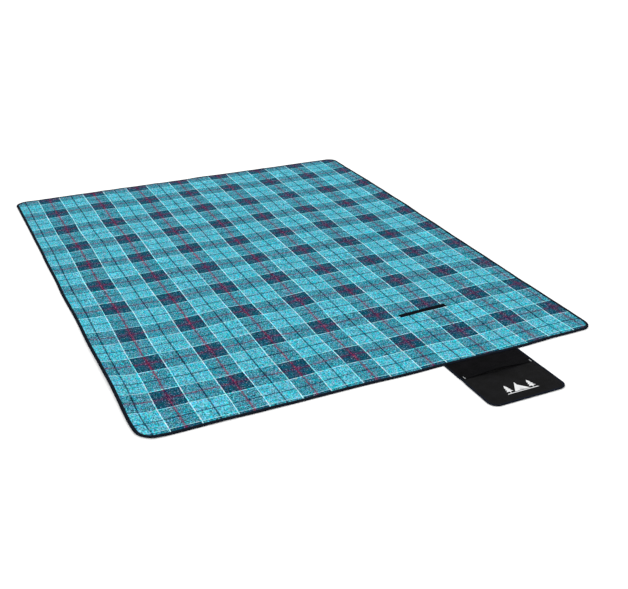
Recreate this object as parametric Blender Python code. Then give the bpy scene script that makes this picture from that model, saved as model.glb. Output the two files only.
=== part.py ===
"""Padded camp blanket with a carry flap, lying open on the ground, plaid side up.

Sizes are in metres and +Z is up. X runs across the blanket, Y along it, and the flap lies past
the near edge, at -Y. The origin is on the ground, in the middle of the whole outline.

The blanket is a sandwich of napped plaid fabric, thin foam and a foil backing, held by one tape
folded round its edge. It folds along four lines into fifths, so each layer and the tape are
parted there, and each fifth moves as one body. The flap is two layers of cloth with a tape edge,
a crease, a hook strip under its free end and a webbing handle. Its sewn end lies under the
fourth fifth, in a slot in the tape and the backing.
"""

import math

import bmesh
import bpy
from mathutils import Matrix, Vector

# Driving dimensions of the blanket
BLANKET_WIDTH = 2.0
BLANKET_LENGTH = 2.5
FIFTHS = 5
FLAP_FIFTH = 4
CORNER_RADIUS = 0.060
BACKING_THICKNESS = 0.0004
FOAM_THICKNESS = 0.0022
FABRIC_THICKNESS = 0.0012
TAPE_THICKNESS = 0.0006
TAPE_COVER = 0.012

# Driving dimensions of the loop strip on the plaid side
STRIP_LENGTH = 0.243
STRIP_WIDTH = 0.025
STRIP_THICKNESS = 0.0015
STRIP_FROM_EDGE = 0.431
STRIP_TILT = math.radians(4.0)
STRIP_CORNER_RADIUS = 0.003

# Driving dimensions of the flap
FLAP_SIDE_CLEARANCE = 0.024
FLAP_OFF_CENTRE = 0.006
FLAP_ROOT_LENGTH = 0.128
FLAP_TAB_LENGTH = 0.2007
FLAP_CORNER_RADIUS = 0.040
FLAP_CLOTH_THICKNESS = 0.0005
FLAP_TAPE_THICKNESS = 0.0004
FLAP_TAPE_COVER = 0.010
SEAM_ALLOWANCE = 0.030
SEAM_THICKNESS = 0.0006

# Driving dimensions of the hook strip under the flap's free end
HOOK_LENGTH = 0.240
HOOK_WIDTH = 0.025
HOOK_THICKNESS = 0.0012
HOOK_FROM_TIP = 0.028

# Driving dimensions of the webbing handle
STRAP_WIDTH = 0.030
STRAP_THICKNESS = 0.0014
STRAP_END_INSET = 0.012
STRAP_SEWN_LENGTH = 0.022
STRAP_RISE = 0.012
STRAP_FROM_CREASE = 0.006
GRIP_LENGTH = 0.150
BARTACK_LENGTH = 0.022
BARTACK_WIDTH = 0.003
BARTACK_THICKNESS = 0.0006

# Clearances
GAP = 0.0003
FLAP_HINGE_GAP = 0.001
CUT_OVERSHOOT = 0.001

# Facets
CORNER_SEGMENTS = 8
GRIP_STATIONS = 10
STRAP_END_STATIONS = 8

# Levels of the blanket's layers over the ground
FOAM_LEVEL = TAPE_THICKNESS + GAP
FABRIC_LEVEL = FOAM_LEVEL + FOAM_THICKNESS + GAP
COVER_LEVEL = FABRIC_LEVEL + FABRIC_THICKNESS + GAP
BLANKET_THICKNESS = COVER_LEVEL + TAPE_THICKNESS

# Levels of the flap's layers over the ground: the hook strip is what it lies on
FLAP_LEVEL = HOOK_THICKNESS - FLAP_TAPE_THICKNESS
LINING_LEVEL = FLAP_LEVEL + FLAP_TAPE_THICKNESS + GAP
OUTER_LEVEL = LINING_LEVEL + FLAP_CLOTH_THICKNESS + GAP
FLAP_COVER_LEVEL = OUTER_LEVEL + FLAP_CLOTH_THICKNESS + GAP
FLAP_TOP = FLAP_COVER_LEVEL + FLAP_TAPE_THICKNESS
STRAP_LEVEL = FLAP_TOP + GAP

# Places along the object
FLAP_REACH = FLAP_HINGE_GAP + FLAP_ROOT_LENGTH + GAP + FLAP_TAB_LENGTH
TIP_Y = -(BLANKET_LENGTH + FLAP_REACH) / 2
NEAR_Y = TIP_Y + FLAP_REACH
FAR_Y = NEAR_Y + BLANKET_LENGTH
ROOT_Y = NEAR_Y - FLAP_HINGE_GAP
CREASE_Y = ROOT_Y - FLAP_ROOT_LENGTH
TAB_Y = CREASE_Y - GAP
STRAP_Y = CREASE_Y + STRAP_FROM_CREASE + STRAP_WIDTH / 2

# Places across the object
LEFT_X = -BLANKET_WIDTH / 2
RIGHT_X = BLANKET_WIDTH / 2
FIFTH_WIDTH = BLANKET_WIDTH / FIFTHS
FOURTH_MIDDLE_X = LEFT_X + FIFTH_WIDTH * (FLAP_FIFTH - 0.5)
FLAP_X = FOURTH_MIDDLE_X + FLAP_OFF_CENTRE
FLAP_WIDTH = FIFTH_WIDTH - 2 * FLAP_SIDE_CLEARANCE


def clear_scene():
    """Remove every object, so that the file starts empty."""
    for thing in list(bpy.data.objects):
        bpy.data.objects.remove(thing, do_unlink=True)


def finish(name, colour, roughness, metallic=0.0):
    """A Principled material of one colour."""
    material = bpy.data.materials.new(name)
    material.use_nodes = True
    shader = material.node_tree.nodes["Principled BSDF"]
    shader.inputs["Base Color"].default_value = (*colour, 1.0)
    shader.inputs["Roughness"].default_value = roughness
    shader.inputs["Metallic"].default_value = metallic
    return material


def add_object(name, bm, material):
    """Put a finished bmesh in the scene as one named object."""
    bmesh.ops.recalc_face_normals(bm, faces=bm.faces)
    mesh = bpy.data.meshes.new(name)
    bm.to_mesh(mesh)
    bm.free()
    mesh.materials.append(material)
    thing = bpy.data.objects.new(name, mesh)
    bpy.context.scene.collection.objects.link(thing)
    return thing


def thicken(bm, face, height):
    """Pull a flat face up into a closed plate."""
    pulled = bmesh.ops.extrude_face_region(bm, geom=[face])
    moved = [v for v in pulled["geom"] if isinstance(v, bmesh.types.BMVert)]
    bmesh.ops.translate(bm, vec=(0, 0, height), verts=moved)


def plate(name, material, x_span, y_span, z_span, radius=0.0, rounded=()):
    """A flat plate. rounded names its round corners as (x end, y end), each 0 low or 1 high."""
    bm = bmesh.new()
    ends = ((0, 0), (1, 0), (1, 1), (0, 1))
    corners = {(i, j): bm.verts.new((x_span[i], y_span[j], z_span[0])) for i, j in ends}
    bm.faces.new([corners[end] for end in ends])
    if rounded:
        bmesh.ops.bevel(
            bm,
            geom=[corners[end] for end in rounded],
            offset=radius,
            offset_type="OFFSET",
            segments=CORNER_SEGMENTS,
            profile=0.5,
            affect="VERTICES",
            material=-1,
        )
    bm.faces.ensure_lookup_table()
    thicken(bm, bm.faces[0], z_span[1] - z_span[0])
    return add_object(name, bm, material)


def folded_tape(name, material, start, heading, moves, level, height, tape, cover):
    """Tape folded round an edge: a C section drawn along that edge, which lies on its right.

    heading is the direction of travel in degrees from +X. A move is a length, or (radius, degrees)
    for a left turn of the edge. The section opens to the left, over the layers that it holds.
    """
    section = (
        (0, 0),
        (cover, 0),
        (cover, tape),
        (tape, tape),
        (tape, height - tape),
        (cover, height - tape),
        (cover, height),
        (0, height),
    )
    bm = bmesh.new()
    turned = Matrix.Rotation(math.radians(heading), 3, "Z")
    along = turned @ Vector((1, 0, 0))
    inward = turned @ Vector((0, 1, 0))
    place = Vector((start[0], start[1], level))
    first = bm.faces.new([bm.verts.new(place + inward * d + Vector((0, 0, h))) for d, h in section])
    ring = list(first.edges)
    for move in moves:
        if isinstance(move, tuple):
            radius, degrees = move
            drawn = bmesh.ops.spin(
                bm,
                geom=ring,
                cent=place + inward * radius,
                axis=(0, 0, 1),
                angle=math.radians(degrees),
                steps=CORNER_SEGMENTS,
            )
            ring = [g for g in drawn["geom_last"] if isinstance(g, bmesh.types.BMEdge)]
            turn = Matrix.Rotation(math.radians(degrees), 3, "Z")
            place = place + inward * radius - turn @ inward * radius
            along = turn @ along
            inward = turn @ inward
        else:
            pulled = bmesh.ops.extrude_edge_only(bm, edges=ring)
            moved = [v for v in pulled["geom"] if isinstance(v, bmesh.types.BMVert)]
            bmesh.ops.translate(bm, vec=along * move, verts=moved)
            ring = [e for e in pulled["geom"] if isinstance(e, bmesh.types.BMEdge)]
            ring = [e for e in ring if set(e.verts) <= set(moved)]
            place = place + along * move
    bmesh.ops.contextual_create(bm, geom=ring)
    return add_object(name, bm, material)


def fifth_span(number):
    """Where a fifth starts and ends across the blanket, with half a gap left at each fold."""
    low = LEFT_X + FIFTH_WIDTH * (number - 1)
    high = low + FIFTH_WIDTH
    return (
        low if number == 1 else low + GAP / 2,
        high if number == FIFTHS else high - GAP / 2,
    )


def layer_span(number, inset):
    """The same for a layer that stops short of the blanket's outer edge."""
    low, high = fifth_span(number)
    return (low + inset * (number == 1), high - inset * (number == FIFTHS))


def outer_corners(number):
    """The corners of a fifth that are corners of the blanket."""
    return {1: ((0, 0), (0, 1)), FIFTHS: ((1, 0), (1, 1))}.get(number, ())


def build_layers(number, plaid, foam, foil):
    """One fifth of the fabric, the foam and the backing. The tape holds the first two inside it."""
    inside = TAPE_THICKNESS + GAP
    beside = TAPE_COVER + GAP
    layers = (
        ("top_fabric", plaid, inside, FABRIC_LEVEL, FABRIC_THICKNESS),
        ("foam", foam, inside, FOAM_LEVEL, FOAM_THICKNESS),
        ("backing", foil, beside, 0.0, BACKING_THICKNESS),
    )
    made = {}
    for name, material, inset, level, thickness in layers:
        made[name] = plate(
            f"{name}_{number}",
            material,
            layer_span(number, inset),
            (NEAR_Y + inset, FAR_Y - inset),
            (level, level + thickness),
            CORNER_RADIUS - inset,
            outer_corners(number),
        )
    return made


def build_edge_tape(material):
    """The tape round the blanket's edge: two ends with the corners, and a stretch on each fifth."""
    shape = (0.0, BLANKET_THICKNESS, TAPE_THICKNESS, TAPE_COVER)
    side = BLANKET_LENGTH - 2 * CORNER_RADIUS
    corner = (CORNER_RADIUS, 90)
    turn_left = (LEFT_X + CORNER_RADIUS, FAR_Y)
    turn_right = (RIGHT_X - CORNER_RADIUS, NEAR_Y)
    folded_tape("edge_tape_left", material, turn_left, 180, (corner, side, corner), *shape)
    folded_tape("edge_tape_right", material, turn_right, 0, (corner, side, corner), *shape)
    near = {}
    for number in range(1, FIFTHS + 1):
        low, high = layer_span(number, CORNER_RADIUS + GAP)
        run = (high - low,)
        near[number] = folded_tape(
            f"edge_tape_near_{number}", material, (low, NEAR_Y), 0, run, *shape
        )
        folded_tape(f"edge_tape_far_{number}", material, (high, FAR_Y), 180, run, *shape)
    return near


def cut_flap_slot(pieces):
    """Cut the slot that the flap's sewn end lies in, out of the tape and the backing over it."""
    bm = bmesh.new()
    across = FLAP_WIDTH + 2 * GAP
    deep = SEAM_ALLOWANCE + GAP + CUT_OVERSHOOT
    high = SEAM_THICKNESS + GAP + CUT_OVERSHOOT
    bmesh.ops.create_cube(bm, size=1)
    bmesh.ops.scale(bm, vec=(across, deep, high), verts=bm.verts)
    middle = (FLAP_X, NEAR_Y - CUT_OVERSHOOT + deep / 2, -CUT_OVERSHOOT + high / 2)
    bmesh.ops.translate(bm, vec=middle, verts=bm.verts)
    mesh = bpy.data.meshes.new("flap_slot_cutter")
    bm.to_mesh(mesh)
    bm.free()
    cutter = bpy.data.objects.new("flap_slot_cutter", mesh)
    bpy.context.scene.collection.objects.link(cutter)
    cutter.hide_render = True
    cutter.display_type = "WIRE"
    for piece in pieces:
        cut = piece.modifiers.new("flap_slot", "BOOLEAN")
        cut.operation = "DIFFERENCE"
        cut.solver = "EXACT"
        cut.object = cutter


def build_loop_strip(material):
    """The loop strip sewn on the plaid, a little askew, that the flap's hooks grip."""
    strip = plate(
        "loop_strip",
        material,
        (-STRIP_LENGTH / 2, STRIP_LENGTH / 2),
        (-STRIP_WIDTH / 2, STRIP_WIDTH / 2),
        (0, STRIP_THICKNESS),
        STRIP_CORNER_RADIUS,
        ((0, 0), (1, 0), (1, 1), (0, 1)),
    )
    strip.location = (FOURTH_MIDDLE_X, NEAR_Y + STRIP_FROM_EDGE, COVER_LEVEL)
    strip.rotation_euler = (0, 0, STRIP_TILT)


def build_flap(cloth, lining, tape):
    """The flap's sewn end, its root and its tab. The crease parts the root from the tab."""
    left = FLAP_X - FLAP_WIDTH / 2
    right = FLAP_X + FLAP_WIDTH / 2
    inset = FLAP_TAPE_THICKNESS + GAP
    across = (left + inset, right - inset)
    plate(
        "flap_seam_allowance",
        cloth,
        (left, right),
        (NEAR_Y, NEAR_Y + SEAM_ALLOWANCE),
        (0, SEAM_THICKNESS),
    )
    tip_corners = ((0, 0), (1, 0))
    corner_radius = FLAP_CORNER_RADIUS - inset
    for layer, material, level in (("outer", cloth, OUTER_LEVEL), ("lining", lining, LINING_LEVEL)):
        heights = (level, level + FLAP_CLOTH_THICKNESS)
        plate(f"flap_root_{layer}", material, across, (CREASE_Y, ROOT_Y), heights)
        tab = (TIP_Y + inset, TAB_Y)
        plate(f"flap_tab_{layer}", material, across, tab, heights, corner_radius, tip_corners)
    shape = (FLAP_LEVEL, FLAP_TOP - FLAP_LEVEL, FLAP_TAPE_THICKNESS, FLAP_TAPE_COVER)
    root_run = (FLAP_ROOT_LENGTH,)
    folded_tape("flap_root_tape_left", tape, (left, ROOT_Y), 270, root_run, *shape)
    folded_tape("flap_root_tape_right", tape, (right, CREASE_Y), 90, root_run, *shape)
    turn_y = TIP_Y + FLAP_CORNER_RADIUS
    side_run = (TAB_Y - turn_y - GAP,)
    folded_tape("flap_tab_tape_left", tape, (left, TAB_Y), 270, side_run, *shape)
    folded_tape("flap_tab_tape_right", tape, (right, turn_y + GAP), 90, side_run, *shape)
    corner = (FLAP_CORNER_RADIUS, 90)
    end_run = (corner, FLAP_WIDTH - 2 * FLAP_CORNER_RADIUS, corner)
    folded_tape("flap_tab_tape_end", tape, (left, turn_y), 270, end_run, *shape)


def build_hook_strip(material):
    """The hook strip sewn under the flap's free end."""
    low = TIP_Y + HOOK_FROM_TIP
    plate(
        "hook_strip",
        material,
        (FLAP_X - HOOK_LENGTH / 2, FLAP_X + HOOK_LENGTH / 2),
        (low, low + HOOK_WIDTH),
        (0, HOOK_THICKNESS),
    )


def strap_height(x):
    """How high the strap's underside is over its sewn ends, x from the handle's middle."""
    free = FLAP_WIDTH / 2 - STRAP_END_INSET - STRAP_SEWN_LENGTH
    if abs(x) >= free:
        return 0.0
    return STRAP_RISE * (1 + math.cos(math.pi * x / free)) / 2


def strap_piece(name, material, low, high, stations):
    """A stretch of the webbing between two places from the handle's middle."""
    bm = bmesh.new()
    bmesh.ops.create_grid(bm, x_segments=stations, y_segments=1, size=0.5)
    bmesh.ops.scale(bm, vec=(high - low, STRAP_WIDTH, 1), verts=bm.verts)
    bmesh.ops.translate(bm, vec=((low + high) / 2, 0, 0), verts=bm.verts)
    for vert in bm.verts:
        vert.co.z = strap_height(vert.co.x)
    bmesh.ops.translate(bm, vec=(FLAP_X, STRAP_Y, STRAP_LEVEL), verts=bm.verts)
    pulled = bmesh.ops.extrude_face_region(bm, geom=list(bm.faces))
    moved = [v for v in pulled["geom"] if isinstance(v, bmesh.types.BMVert)]
    bmesh.ops.translate(bm, vec=(0, 0, STRAP_THICKNESS), verts=moved)
    return add_object(name, bm, material)


def build_handle(webbing, thread):
    """The handle: webbing sewn down at both ends with a bartack, and a grip that lifts."""
    end = FLAP_WIDTH / 2 - STRAP_END_INSET
    grip = GRIP_LENGTH / 2
    strap_piece("handle_end_left", webbing, -end, -grip - GAP, STRAP_END_STATIONS)
    strap_piece("handle_grip", webbing, -grip, grip, GRIP_STATIONS)
    strap_piece("handle_end_right", webbing, grip + GAP, end, STRAP_END_STATIONS)
    over_strap = STRAP_LEVEL + STRAP_THICKNESS + GAP
    middle = end - STRAP_SEWN_LENGTH / 2
    for name, x in (("bartack_left", FLAP_X - middle), ("bartack_right", FLAP_X + middle)):
        plate(
            name,
            thread,
            (x - BARTACK_WIDTH / 2, x + BARTACK_WIDTH / 2),
            (STRAP_Y - BARTACK_LENGTH / 2, STRAP_Y + BARTACK_LENGTH / 2),
            (over_strap, over_strap + BARTACK_THICKNESS),
        )


def main():
    """Build every piece of the blanket."""
    clear_scene()
    plaid = finish("plaid_fleece", (0.060, 0.240, 0.330), 0.95)
    foam = finish("polyethylene_foam", (0.780, 0.790, 0.800), 0.85)
    foil = finish("aluminised_film", (0.620, 0.630, 0.640), 0.28, 0.85)
    edge_tape = finish("edge_tape", (0.010, 0.013, 0.028), 0.75)
    cloth = finish("flap_cloth", (0.010, 0.010, 0.010), 0.80)
    lining = finish("flap_lining", (0.012, 0.012, 0.013), 0.85)
    hook_and_loop = finish("hook_and_loop_tape", (0.006, 0.006, 0.009), 0.95)
    webbing = finish("handle_webbing", (0.009, 0.009, 0.010), 0.70)
    thread = finish("bartack_thread", (0.620, 0.620, 0.620), 0.60)
    backings = {}
    for number in range(1, FIFTHS + 1):
        backings[number] = build_layers(number, plaid, foam, foil)["backing"]
    near_tapes = build_edge_tape(edge_tape)
    cut_flap_slot((near_tapes[FLAP_FIFTH], backings[FLAP_FIFTH]))
    build_loop_strip(hook_and_loop)
    build_flap(cloth, lining, edge_tape)
    build_hook_strip(hook_and_loop)
    build_handle(webbing, thread)


main()
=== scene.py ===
"""Camp blanket: a plaid picnic blanket with a foam core, a foil backing and a carry flap, open on the ground.

The layers, the binding and the loop strip lie on one gently rolling surface, so they rise and dip together.
Each layer is in four panels, split halfway between the fold lines, with one fold line in each.
"""

import logging
import math
from dataclasses import dataclass, field
from enum import Enum
from typing import Any, Callable, Sequence

import bmesh
import bpy
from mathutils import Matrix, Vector, noise


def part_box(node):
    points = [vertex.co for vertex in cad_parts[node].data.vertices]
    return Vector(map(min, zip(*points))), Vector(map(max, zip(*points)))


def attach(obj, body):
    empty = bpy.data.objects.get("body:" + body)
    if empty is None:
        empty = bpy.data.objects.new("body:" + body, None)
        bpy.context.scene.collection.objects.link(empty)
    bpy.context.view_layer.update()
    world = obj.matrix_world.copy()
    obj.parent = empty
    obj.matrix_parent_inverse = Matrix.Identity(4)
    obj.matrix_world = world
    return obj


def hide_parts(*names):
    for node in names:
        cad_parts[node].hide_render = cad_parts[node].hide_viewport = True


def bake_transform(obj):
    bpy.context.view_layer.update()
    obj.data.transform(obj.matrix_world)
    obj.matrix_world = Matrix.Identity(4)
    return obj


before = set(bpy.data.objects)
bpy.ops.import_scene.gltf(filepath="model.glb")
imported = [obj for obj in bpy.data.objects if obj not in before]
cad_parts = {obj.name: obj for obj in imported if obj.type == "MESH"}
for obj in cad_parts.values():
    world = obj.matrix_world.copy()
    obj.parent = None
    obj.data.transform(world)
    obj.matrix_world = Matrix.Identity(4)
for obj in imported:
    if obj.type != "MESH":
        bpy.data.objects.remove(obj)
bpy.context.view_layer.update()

logging.basicConfig(level=logging.INFO, format="%(message)s")
LOG = logging.getLogger("camp_blanket")

MM = 0.001
WEAVE_MAP = "weave"  # the map that holds each point's place in its flat cloth, in metres
TAPE_WIDTH = 31 * MM  # the blanket's binding tape, flat
BEND_HALF = 10 * MM  # half the width of the blanket's bend at a fold
BEND_STEP = 2.5 * MM  # the mesh's spacing in a bend


# ---------------------------------------------------------------- colours and nodes


def srgb(code: str) -> tuple[float, float, float, float]:
    """Turns a colour as it is seen into the linear values that the shader wants.

    Args:
        code: the colour as sRGB hex, such as "55afc5".

    Returns:
        Linear red, green, blue and alpha.
    """
    parts = [int(code[i:i + 2], 16) / 255 for i in (0, 2, 4)]
    line = [p / 12.92 if p <= 0.04045 else ((p + 0.055) / 1.055) ** 2.4 for p in parts]
    return (line[0], line[1], line[2], 1.0)


def add_node(tree: bpy.types.NodeTree, kind: str, inputs: dict[Any, Any] | None = None,
             **settings: Any) -> Any:
    """Adds one shader node with its settings, values and links.

    Args:
        tree: the material's node tree.
        kind: the node's type without "ShaderNode".
        inputs: socket name or number, to a value or to the socket that feeds it.
        **settings: the node's own properties.

    Returns:
        The new node.
    """
    node = tree.nodes.new("ShaderNode" + kind)
    for name, value in settings.items():
        setattr(node, name, value)
    for key, value in (inputs or {}).items():
        if isinstance(value, bpy.types.NodeSocket):
            tree.links.new(value, node.inputs[key])
        else:
            node.inputs[key].default_value = value
    return node


def bare_material(name: str, **shader: Any) -> tuple[bpy.types.Material, bpy.types.NodeTree, Any]:
    """Makes a material with just its shader, with the values that are the same all over the surface.

    Args:
        name: the real material's name.
        **shader: shader socket names, with _ for a space, and their values.

    Returns:
        The material, its node tree and its shader node.
    """
    material = bpy.data.materials.new(name)
    material.use_nodes = True
    tree = material.node_tree
    principled = tree.nodes["Principled BSDF"]
    for socket, value in shader.items():
        principled.inputs[socket.replace("_", " ")].default_value = value
    return material, tree, principled


def set_stops(node: Any, stops: Sequence[tuple[float, tuple[float, ...]]]) -> None:
    """Puts the stops on a colour ramp.

    Args:
        node: the colour ramp node.
        stops: place from 0 to 1 and colour, in order.
    """
    ramp = node.color_ramp
    while len(ramp.elements) < len(stops):
        ramp.elements.new(1.0)
    for element, (place, colour) in zip(ramp.elements, stops):
        element.position = place
        element.color = colour


# ---------------------------------------------------------------- finishes


@dataclass(frozen=True)
class Yarns:
    """The dyed yarns of the warp or of the weft, from the middle of a dark stripe outwards."""

    pin: str  # the red pinstripe in the middle of the dark stripe
    shoulder: str  # navy and red yarns by turns, on both sides of the pinstripe
    dark: str
    rim: str  # the darkest navy yarns, along the dark stripe's sides
    edge: str  # the white yarns between dark and light
    light: str
    hair: str  # the dark hairline in the middle of the light stripe
    pin_half: float = 3.8 * MM
    shoulder_half: float = 24.0 * MM  # where the last red yarn is, so the red dies away up to here
    rim_width: float = 7.0 * MM
    dark_half: float = 57.0 * MM
    edge_width: float = 4.3 * MM
    hair_half: float = 3.3 * MM
    half_repeat: float = 126.9 * MM
    plain: float = 0.16  # how much an ordinary yarn shows, against a thick yarn that crosses it
    thick: float = 0.9  # how much a white yarn shows
    hair_shows: float = 0.7
    pin_shows: float = 0.9
    soft: float = 0.5 * MM  # half the width over which one colour turns to the next

    def stops(self) -> list[tuple[float, tuple[float, ...]]]:
        """Works out the stripes' colours over half a repeat.

        Returns:
            Ramp stops: place from 0 to 1, and linear colour with how much the yarn shows as its alpha.
        """
        soft = self.soft
        white_end, hair_start = self.dark_half + self.edge_width, self.half_repeat - self.hair_half
        spots = [
            (self.pin_half - soft, self.pin, self.pin_shows),
            (self.pin_half + soft, self.shoulder, self.plain),
            (self.shoulder_half, self.dark, self.plain),
            (self.dark_half - self.rim_width - soft, self.dark, self.plain),
            (self.dark_half - self.rim_width + soft, self.rim, self.plain),
            (self.dark_half - soft, self.rim, self.plain),
            (self.dark_half + soft, self.edge, self.thick),
            (white_end - soft, self.edge, self.thick),
            (white_end + soft, self.light, self.plain),
            (hair_start - soft, self.light, self.plain),
            (hair_start + soft, self.hair, self.hair_shows),
        ]
        return [(place / self.half_repeat, (*srgb(code)[:3], shows)) for place, code, shows in spots]


@dataclass(frozen=True)
class PlaidFleece:
    """Brushed acrylic twill, yarn-dyed: the raised nap scatters light, so it is matt with a faint sheen."""

    warp: Yarns = Yarns(pin="66173a", shoulder="451f42", dark="094659", rim="062c44", edge="a6dee9",
                        light="4ca5b7", hair="07273c")
    weft: Yarns = Yarns(pin="4f2142", shoulder="3c2346", dark="094659", rim="062f46", edge="8fd2de",
                        light="4ca5b7", hair="092a40")
    warp_start: float = 0.180  # the first red warp stripe, from the blanket's left edge
    weft_start: float = 0.222  # the first red weft stripe, from its near edge
    fray: float = 0.7 * MM  # how far the nap drags a stripe's edge
    fray_size: float = 7.7 * MM  # the size of one such drag
    dull_red: str = "35233f"  # the red stripes are duller towards the blanket's right-hand side
    dull_from: float = 0.85  # where they start to be, from the blanket's left edge
    dull_to: float = 1.45
    stray: str = "6f9eb4"  # odd pale fibres from the white yarns, dragged over the rest by the brushing
    stray_size: float = 4.35 * MM  # real wisps are about 1 mm and are drawn coarser, so that they show
    cast: tuple[float, float, float] = (5.5, 1.0, 0.7)  # how far red, green and blue swing from tuft to tuft
    tone_and_shade_swing: float = 4.2  # how far the nap's tufts swing from pale to dark: their own tone, with painted light on high tufts and painted shade on low ones
    tuft: float = 4.76 * MM  # real tufts are about 2 mm and are drawn coarser, so that they show
    cast_size: float = 8.7 * MM  # the width of a run of tufts of one cast, coarser in the same way
    combed: float = 0.6  # the brushing makes a tuft 1 / 0.6 times as long as it is wide
    brushed_size: float = 71.4 * MM  # the width of a patch in which the nap lies one way
    slub: float = 90.0 * MM  # the length over which a yarn goes from pale to dark
    thread: float = 3.6 * MM  # real yarns are about 1.2 mm and are drawn coarser, so that they show
    twill_angle: float = 38.0  # degrees from the weft

    def build(self) -> bpy.types.Material:
        """Builds the material.

        Returns:
            The material.
        """
        material, tree, shader = bare_material(
            "brushed_acrylic_twill", Roughness=0.97, Sheen_Weight=0.01, Sheen_Roughness=0.5,
            Sheen_Tint=srgb("6fb4c4"), Specular_IOR_Level=0.004)
        place = add_node(tree, "TexCoord").outputs["Object"]
        flat = add_node(tree, "UVMap", uv_map=WEAVE_MAP).outputs["UV"]
        # the nap frays a stripe's edge
        drag = add_node(tree, "TexNoise", {"Vector": place, "Scale": 1 / self.fray_size, "Detail": 2.0})
        drag = add_node(tree, "VectorMath", {0: drag.outputs["Color"], 1: (0.5, 0.5, 0.5)},
                        operation="SUBTRACT")
        pulled = add_node(tree, "VectorMath", {0: drag.outputs[0], 1: (4 * self.fray,) * 3, 2: flat},
                          operation="MULTIPLY_ADD")
        split = add_node(tree, "SeparateXYZ", {0: pulled.outputs[0]})
        rightward = add_node(tree, "MapRange", {"Value": split.outputs[0], "From Min": self.dull_from,
                                                "From Max": self.dull_to, "To Min": 0.0, "To Max": 0.62})
        yarns, shows = [], []
        for axis, start, dyed in ((0, self.warp_start, self.warp), (1, self.weft_start, self.weft)):
            half = dyed.half_repeat
            off = add_node(tree, "Math", {0: split.outputs[axis], 1: start}, operation="SUBTRACT")
            fold = add_node(tree, "Math", {0: off.outputs[0], 1: half}, operation="PINGPONG")
            share = add_node(tree, "Math", {0: fold.outputs[0], 1: 1 / half}, operation="MULTIPLY")
            ramp = add_node(tree, "ValToRGB", {0: share.outputs[0]})
            set_stops(ramp, dyed.stops())
            is_red = add_node(tree, "Math", {0: fold.outputs[0], 1: dyed.pin_half}, operation="LESS_THAN")
            duller = add_node(tree, "Math", {0: rightward.outputs[0], 1: is_red.outputs[0]},
                              operation="MULTIPLY")
            hue = add_node(tree, "Mix", {0: duller.outputs[0], 6: ramp.outputs["Color"],
                                         7: srgb(self.dull_red)}, data_type="RGBA")
            # spun yarn is never even: each one is a little paler or darker along its length
            across, along = 1 / self.thread, 1 / self.slub
            grain = add_node(tree, "Mapping", {"Vector": flat, "Scale": (along, across, 1.0) if axis else
                                               (across, along, 1.0)})
            uneven = add_node(tree, "TexNoise", {"Vector": grain.outputs[0], "Scale": 0.8, "Detail": 1.0})
            shade = add_node(tree, "MapRange", {"Value": uneven.outputs[0], "From Min": 0.3, "From Max": 0.7,
                                                "To Min": 0.70, "To Max": 1.30})
            dyed_yarn = add_node(tree, "VectorMath", {0: hue.outputs[2], "Scale": shade.outputs[0]},
                                 operation="SCALE")
            yarns.append(dyed_yarn.outputs[0])
            shows.append(ramp.outputs["Alpha"])
        # warp and weft come up in short runs along the twill's slant, and a thick yarn covers a thin one
        slant = add_node(tree, "Mapping", {"Vector": flat, "Rotation": (0, 0, math.radians(self.twill_angle)),
                                           "Scale": (1.0, 0.42, 1.0)})
        twill = add_node(tree, "TexNoise", {"Vector": slant.outputs[0], "Scale": 1 / self.thread,
                                            "Detail": 1.5, "Roughness": 0.6})
        over = add_node(tree, "MapRange", {"Value": twill.outputs[0], "From Min": 0.38, "From Max": 0.62,
                                           "To Min": -1.7, "To Max": 1.7})
        both = add_node(tree, "Math", {0: shows[0], 1: shows[1]}, operation="ADD")
        weft = add_node(tree, "Math", {0: shows[1], 1: both.outputs[0]}, operation="DIVIDE")
        warp = add_node(tree, "Math", {0: shows[0], 1: both.outputs[0]}, operation="DIVIDE")
        room = add_node(tree, "Math", {0: warp.outputs[0], 1: weft.outputs[0]}, operation="MULTIPLY")
        mixing = add_node(tree, "Math", {0: over.outputs[0], 1: room.outputs[0], 2: weft.outputs[0]},
                          operation="MULTIPLY_ADD", use_clamp=True)
        woven = add_node(tree, "Mix", {0: mixing.outputs[0], 6: yarns[0], 7: yarns[1]}, data_type="RGBA")
        # brushing drags the nap along the blanket, and odd pale fibres with it
        combed = add_node(tree, "Mapping", {"Vector": place, "Scale": (1.0, self.combed, 1.0)}).outputs[0]
        fleck = add_node(tree, "TexNoise", {"Vector": combed, "Scale": 1 / self.stray_size, "Detail": 1.0})
        stray = add_node(tree, "MapRange", {"Value": fleck.outputs[0], "From Min": 0.58, "From Max": 0.68,
                                            "To Min": 0.0, "To Max": 0.40})
        woven = add_node(tree, "Mix", {0: stray.outputs[0], 6: woven.outputs[2], 7: srgb(self.stray)},
                         data_type="RGBA")
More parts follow.
